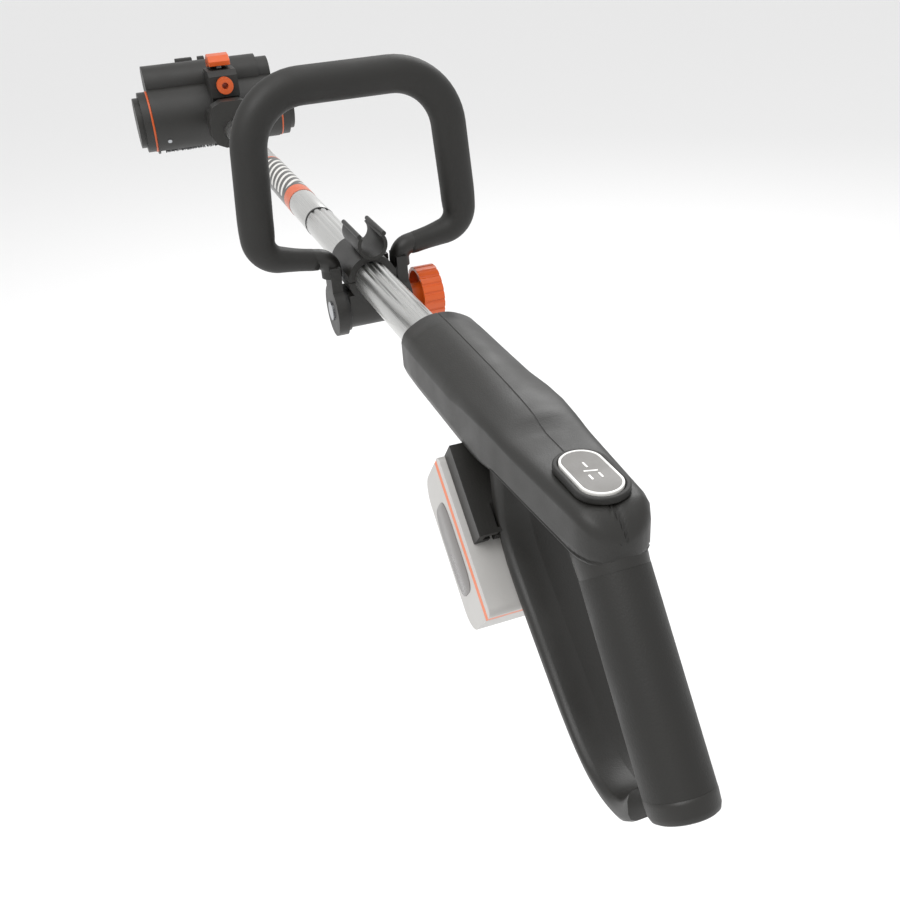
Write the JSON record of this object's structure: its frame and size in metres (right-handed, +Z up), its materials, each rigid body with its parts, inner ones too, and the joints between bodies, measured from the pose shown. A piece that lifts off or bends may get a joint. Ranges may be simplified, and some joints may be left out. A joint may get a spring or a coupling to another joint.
{
  "type": "pole_surface_cleaner",
  "caption": "Cordless roller-brush patio cleaner on a straight pole, with a D-shaped rear handle, slide-on battery, loop front handle and a hose fitting on its two-lobed head.",
  "frame": {"origin": "Middle of the rear grip, on the plane of symmetry", "axes": "+X forward along the tube to the head, +Y to the left of the operator, +Z up, across the tube"},
  "size_m": [1.3763, 0.228, 0.316],
  "materials": {
    "housing_plastic": "fine moulded texture",
    "soft_rubber": "soft satin overmould",
    "button_white": "gloss",
    "button_grey": "satin",
    "inner_plastic": "matte",
    "steel_zinc": "bright zinc",
    "board_green": "lacquered",
    "pack_grey": "pale satin",
    "accent_orange": "satin gloss",
    "cell_wrap": "shrink film",
    "tube_silver": "satin anodised",
    "label_print": "printed film",
    "gear_nylon": "natural nylon",
    "bristle": "nylon bristle"
  },
  "bodies": {
    "rear_body": {"housing_left": "housing_plastic", "housing_right": "housing_plastic", "housing_screws": "steel_zinc", "grip_sleeve": "soft_rubber", "button_base": "soft_rubber", "trigger_pin": "steel_zinc", "trigger_spring": "steel_zinc", "control_board": "board_green", "battery_receiver": "housing_plastic", "terminal_block": "inner_plastic", "upper_tube": "tube_silver", "lower_tube": "tube_silver", "tube_coupler": "steel_zinc", "joint_ring": "housing_plastic", "tube_bands": "accent_orange", "label_sleeve": "label_print", "motor_lead": "inner_plastic", "clamp_upper": "housing_plastic", "clamp_lower": "housing_plastic", "clamp_screws": "steel_zinc", "handle_washers": "housing_plastic", "tube_socket": "housing_plastic", "tilt_pin": "steel_zinc"},
    "speed_button": {"button_ring": "button_white", "button_plate": "button_grey"},
    "trigger_lever": {"trigger": "inner_plastic"},
    "lock_off": {"lock_off_button": "inner_plastic"},
    "battery": {"battery_case_upper": "pack_grey", "battery_case_lower": "pack_grey", "battery_band": "accent_orange", "battery_cells": "cell_wrap"},
    "battery_catch": {"battery_latch": "pack_grey"},
    "front_handle": {"handle_frame": "housing_plastic", "handle_grip": "soft_rubber", "handle_bolt": "steel_zinc"},
    "knob": {"handle_knob": "accent_orange"},
    "head": {"neck": "housing_plastic", "nipple_boot": "soft_rubber", "hose_nipple": "accent_orange", "latch_pin": "steel_zinc", "latch_spring": "steel_zinc", "hood_left": "housing_plastic", "hood_right": "housing_plastic", "hood_screws": "steel_zinc", "hood_tabs": "soft_rubber", "gear_case": "housing_plastic", "gear_cover": "housing_plastic", "shaft_bearings": "steel_zinc", "end_cover_left": "housing_plastic", "end_cover_right": "housing_plastic", "gasket_left": "accent_orange", "gasket_right": "accent_orange", "motor": "steel_zinc"},
    "head_latch": {"tilt_latch": "accent_orange"},
    "roller": {"roller_gear": "gear_nylon", "roller_shaft": "steel_zinc", "brush_core": "inner_plastic", "brush_bristles": "bristle"},
    "idler": {"idler_gear": "gear_nylon"},
    "rotor": {"motor_pinion": "steel_zinc"}
  },
  "joints": [
    {"name": "speed_button_press", "type": "slide", "parent": "rear_body", "child": "speed_button", "axis": [0, 0, -1], "range_m": [0, 0.001], "stiffness_N_per_m": 250, "springref_m": -0.003},
    {"name": "trigger_pull", "type": "hinge", "parent": "rear_body", "child": "trigger_lever", "pos_m": [0.03495, 0, 0.02974], "axis": [0, 1, 0], "range_deg": [0, 12], "stiffness_Nm_per_rad": 0.06, "springref_deg": -20.05},
    {"name": "lock_off_press", "type": "slide", "parent": "rear_body", "child": "lock_off", "axis": [0, 1, 0], "range_m": [0, 0.0025], "stiffness_N_per_m": 150, "springref_m": -0.004},
    {"name": "battery_slide", "type": "slide", "parent": "rear_body", "child": "battery", "axis": [-0.7547, 0, -0.6561], "range_m": [0, 0.11]},
    {"name": "battery_catch_press", "type": "slide", "parent": "battery", "child": "battery_catch", "axis": [-0.7547, 0, -0.6561], "range_m": [0, 0.0025], "stiffness_N_per_m": 150, "springref_m": -0.004},
    {"name": "handle_tilt", "type": "hinge", "parent": "rear_body", "child": "front_handle", "pos_m": [0.469, 0, 0.032], "axis": [0, 1, 0], "range_deg": [-60, 15]},
    {"name": "knob_turn", "type": "hinge", "parent": "front_handle", "child": "knob", "pos_m": [0.469, -0.045, 0.032], "axis": [0, -1, 0], "continuous": true},
    {"name": "head_tilt", "type": "hinge", "parent": "rear_body", "child": "head", "pos_m": [1.188, 0, 0.07], "axis": [0, 1, 0], "range_deg": [-6, 30]},
    {"name": "head_latch_press", "type": "hinge", "parent": "head", "child": "head_latch", "pos_m": [1.226, 0, 0.142], "axis": [0, -1, 0], "range_deg": [0, 5], "stiffness_Nm_per_rad": 0.06, "springref_deg": -20.05, "deforming": ["latch_spring"]},
    {"name": "roller_spin", "type": "hinge", "parent": "head", "child": "roller", "pos_m": [1.26, 0, 0.054], "axis": [0, 1, 0], "continuous": true},
    {"name": "idler_spin", "type": "hinge", "parent": "head", "child": "idler", "pos_m": [1.29245, 0, 0.08518], "axis": [0, 1, 0], "continuous": true},
    {"name": "motor_spin", "type": "hinge", "parent": "head", "child": "rotor", "pos_m": [1.279, 0, 0.112], "axis": [0, 1, 0], "continuous": true}
  ],
  "couplings": [
    {"joint": "idler_spin", "follows": "roller_spin", "ratio": -1.3226},
    {"joint": "motor_spin", "follows": "roller_spin", "ratio": 2.4118}
  ]
}
